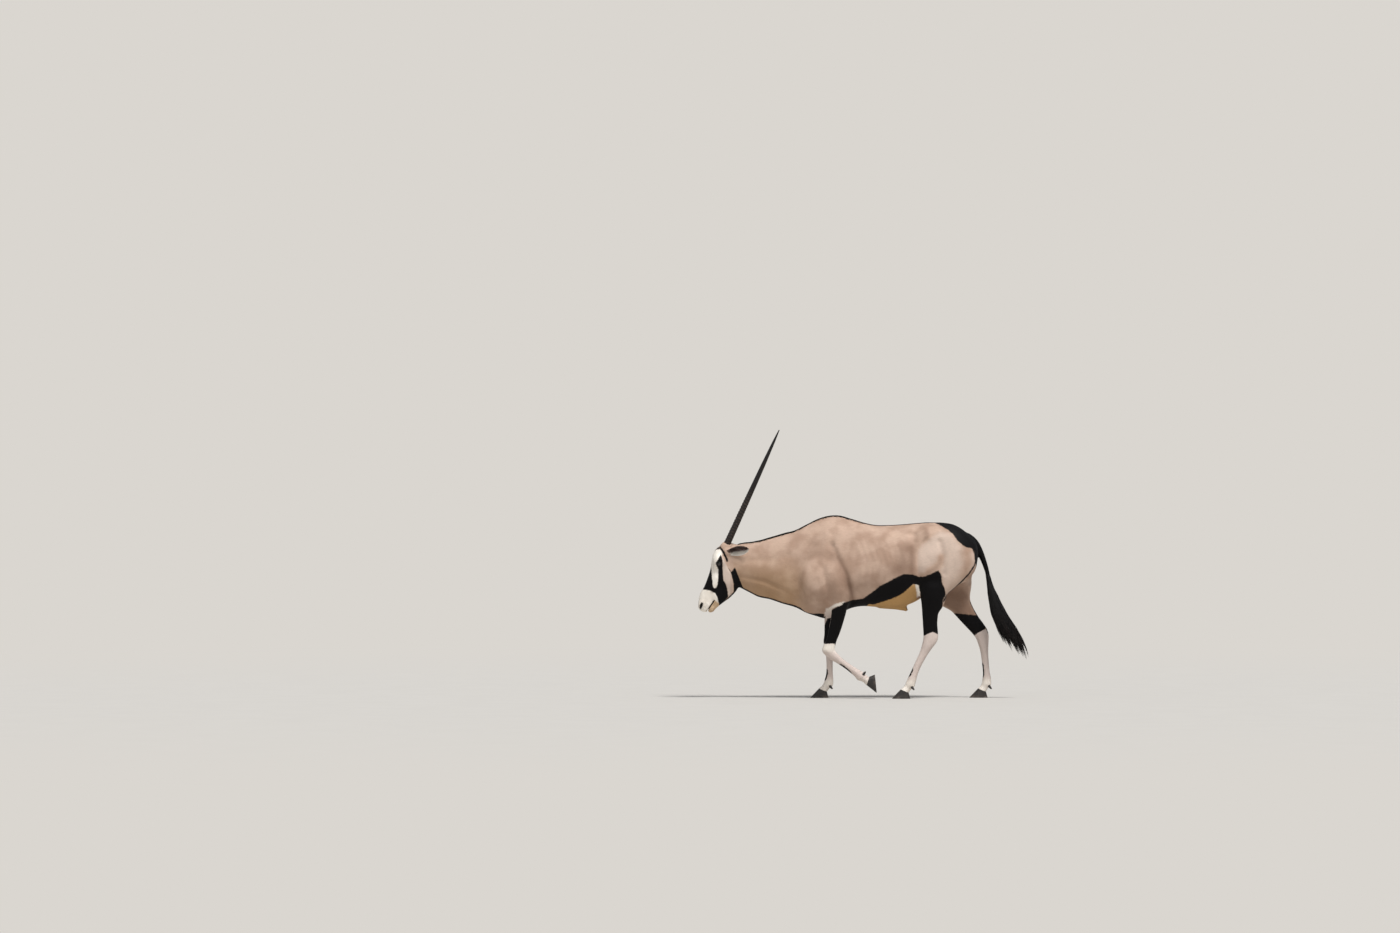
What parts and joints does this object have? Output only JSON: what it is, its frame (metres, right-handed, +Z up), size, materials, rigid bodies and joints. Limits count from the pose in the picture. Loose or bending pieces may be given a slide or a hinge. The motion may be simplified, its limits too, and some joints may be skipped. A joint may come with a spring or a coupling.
{
  "type": "gemsbok",
  "caption": "Life-size standing gemsbok bull in mid walk with lowered head, long straight ringed horns, black and white face and leg markings and a long black tail tuft.",
  "frame": {"origin": "centre of the bounding box at floor level, under the belly", "axes": "+X forward towards the head, +Y to the animal's left, +Z up; the three standing hooves rest on Z = 0"},
  "size_m": [2.1558, 0.4362, 1.75],
  "materials": {
    "coat": "short flat fawn-grey hair over skin, dull",
    "dark_coat": "short black hair over skin, dull",
    "pale_coat": "short white hair over skin, dull",
    "dark_hair": "long coarse black hair, slightly glossy",
    "eye": "wet, dark and glossy",
    "horn": "hard ringed horn, satin, dark",
    "hoof": "hard hoof horn, satin, dark grey"
  },
  "bodies": {
    "root": {"head": "coat", "neck": "coat", "torso": "coat", "tail_dock": "coat", "tail_tuft": "dark_hair", "ear_left": "pale_coat", "ear_right": "pale_coat", "eye_left": "eye", "eye_right": "eye", "horn_left": "horn", "horn_right": "horn", "leg_fore_left_upper": "dark_coat", "leg_fore_left_cannon": "pale_coat", "leg_fore_left_pastern": "pale_coat", "hoof_fore_left_left": "hoof", "dewclaw_fore_left_left": "hoof", "hoof_fore_left_right": "hoof", "dewclaw_fore_left_right": "hoof", "leg_fore_right_upper": "dark_coat", "leg_fore_right_cannon": "pale_coat", "leg_fore_right_pastern": "pale_coat", "hoof_fore_right_left": "hoof", "dewclaw_fore_right_left": "hoof", "hoof_fore_right_right": "hoof", "dewclaw_fore_right_right": "hoof", "leg_hind_left_upper": "dark_coat", "leg_hind_left_cannon": "pale_coat", "leg_hind_left_pastern": "pale_coat", "hoof_hind_left_left": "hoof", "dewclaw_hind_left_left": "hoof", "hoof_hind_left_right": "hoof", "dewclaw_hind_left_right": "hoof", "leg_hind_right_upper": "dark_coat", "leg_hind_right_cannon": "pale_coat", "leg_hind_right_pastern": "pale_coat", "hoof_hind_right_left": "hoof", "dewclaw_hind_right_left": "hoof", "hoof_hind_right_right": "hoof", "dewclaw_hind_right_right": "hoof"}
  },
  "joints": []
}
